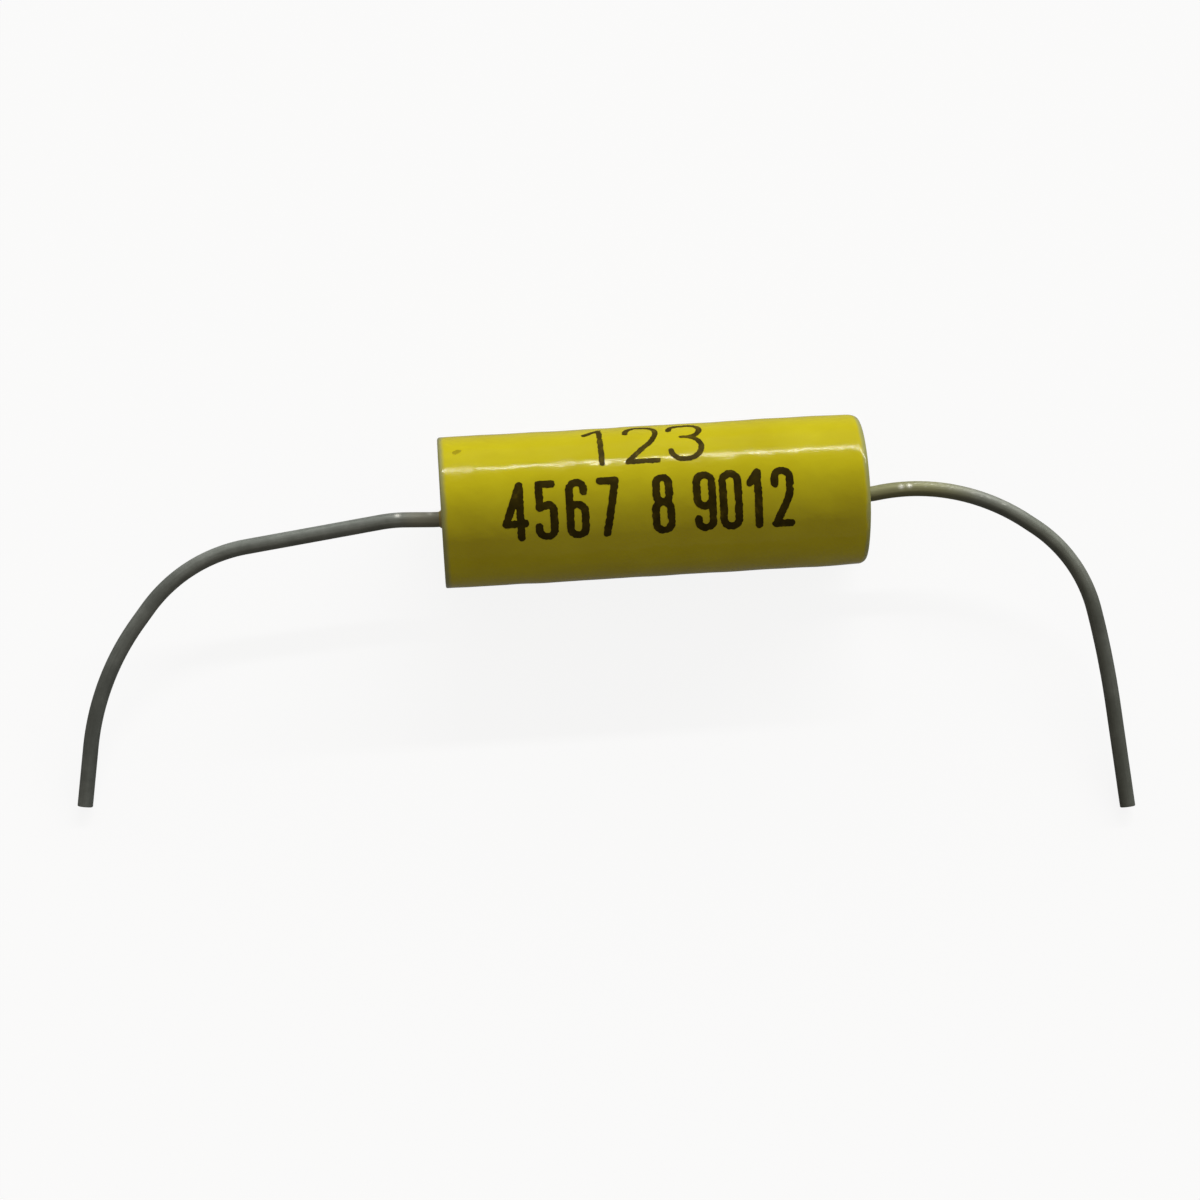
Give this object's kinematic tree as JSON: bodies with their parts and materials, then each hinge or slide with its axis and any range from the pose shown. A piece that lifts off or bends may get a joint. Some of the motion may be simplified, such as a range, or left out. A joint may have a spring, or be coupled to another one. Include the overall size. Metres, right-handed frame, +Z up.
{
  "type": "axial film capacitor",
  "caption": "Round film capacitor: a film roll in a wound tape tube with resin ends and a bent wire lead at each end.",
  "frame": {"origin": "middle of the rectangle that the part covers as it lies on its side, at ground height", "axes": "+X along the tube's axis, towards the lead with the longer straight end; +Z up; the leads bend towards -Y"},
  "size_m": [0.0414, 0.016, 0.0059],
  "materials": {
    "yellow_tape": "gloss",
    "metallised_film": "gloss",
    "sprayed_zinc": "matte",
    "tinned_wire": "satin",
    "epoxy": "satin"
  },
  "bodies": {
    "root": {"tape_wrap": "yellow_tape", "film_winding": "metallised_film", "end_contact_left": "sprayed_zinc", "end_contact_right": "sprayed_zinc", "lead_left": "tinned_wire", "lead_right": "tinned_wire", "resin_fill_left": "epoxy", "resin_fill_right": "epoxy"}
  },
  "joints": []
}
